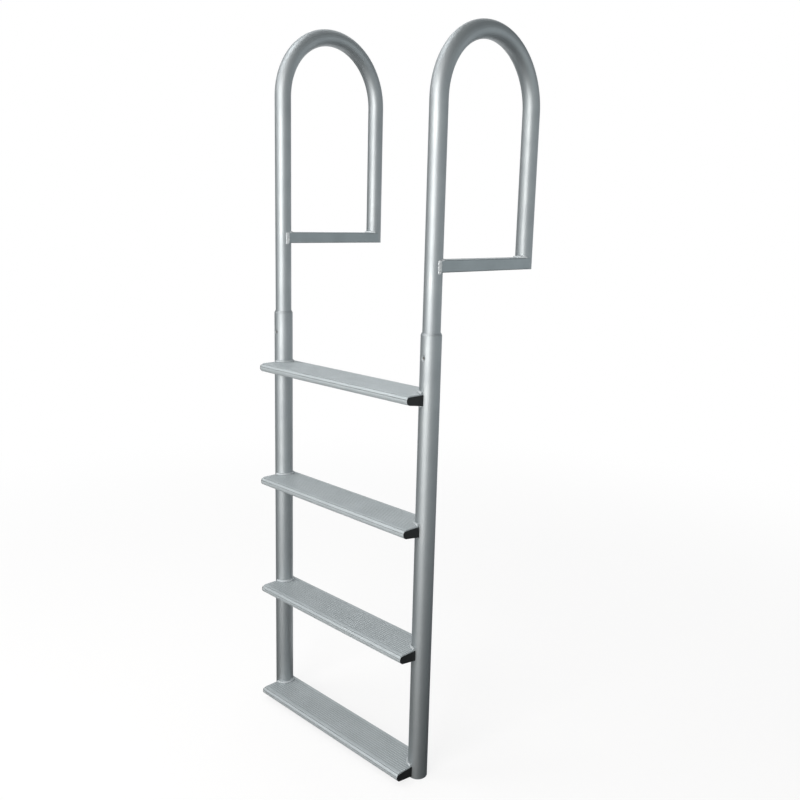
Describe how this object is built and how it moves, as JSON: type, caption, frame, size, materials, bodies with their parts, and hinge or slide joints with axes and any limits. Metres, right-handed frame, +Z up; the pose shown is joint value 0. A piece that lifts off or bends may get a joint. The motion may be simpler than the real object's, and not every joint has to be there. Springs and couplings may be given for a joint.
{
  "type": "dock ladder",
  "caption": "Welded aluminium tube dock ladder with ribbed hollow treads and hooped handrails that bolt down to a dock by flat deck bars.",
  "frame": {"origin": "on the underside of the left deck bar, midway along it and between its two bolt holes, which is the deck surface that the ladder is bolted to", "axes": "+Z up; +Y away from the climber, over the dock; +X to the right of a climber who faces the dock"},
  "size_m": [0.5394, 0.3862, 1.6879],
  "materials": {
    "handrail_aluminium": "satin, drawn and anodised",
    "leg_aluminium": "satin, drawn and anodised",
    "deck_bar_aluminium": "satin, extruded",
    "tread_aluminium": "satin, extruded with fine grooves",
    "weld_bead": "rippled weld bead",
    "stainless_screw": "stainless steel",
    "black_plastic": "moulded black"
  },
  "bodies": {
    "root": {"handrail_left": "handrail_aluminium", "leg_left": "leg_aluminium", "leg_plug_left": "black_plastic", "joint_screw_left": "stainless_screw", "deck_bar_left": "deck_bar_aluminium", "deck_bar_plug_left": "black_plastic", "bar_weld_left": "weld_bead", "post_weld_left": "weld_bead", "handrail_right": "handrail_aluminium", "leg_right": "leg_aluminium", "leg_plug_right": "black_plastic", "joint_screw_right": "stainless_screw", "deck_bar_right": "deck_bar_aluminium", "deck_bar_plug_right": "black_plastic", "bar_weld_right": "weld_bead", "post_weld_right": "weld_bead", "tread_1": "tread_aluminium", "tread_cap_1_left": "black_plastic", "tread_weld_1_left": "weld_bead", "tread_cap_1_right": "black_plastic", "tread_weld_1_right": "weld_bead", "tread_2": "tread_aluminium", "tread_cap_2_left": "black_plastic", "tread_weld_2_left": "weld_bead", "tread_cap_2_right": "black_plastic", "tread_weld_2_right": "weld_bead", "tread_3": "tread_aluminium", "tread_cap_3_left": "black_plastic", "tread_weld_3_left": "weld_bead", "tread_cap_3_right": "black_plastic", "tread_weld_3_right": "weld_bead", "tread_4": "tread_aluminium", "tread_cap_4_left": "black_plastic", "tread_weld_4_left": "weld_bead", "tread_cap_4_right": "black_plastic", "tread_weld_4_right": "weld_bead"}
  },
  "joints": []
}
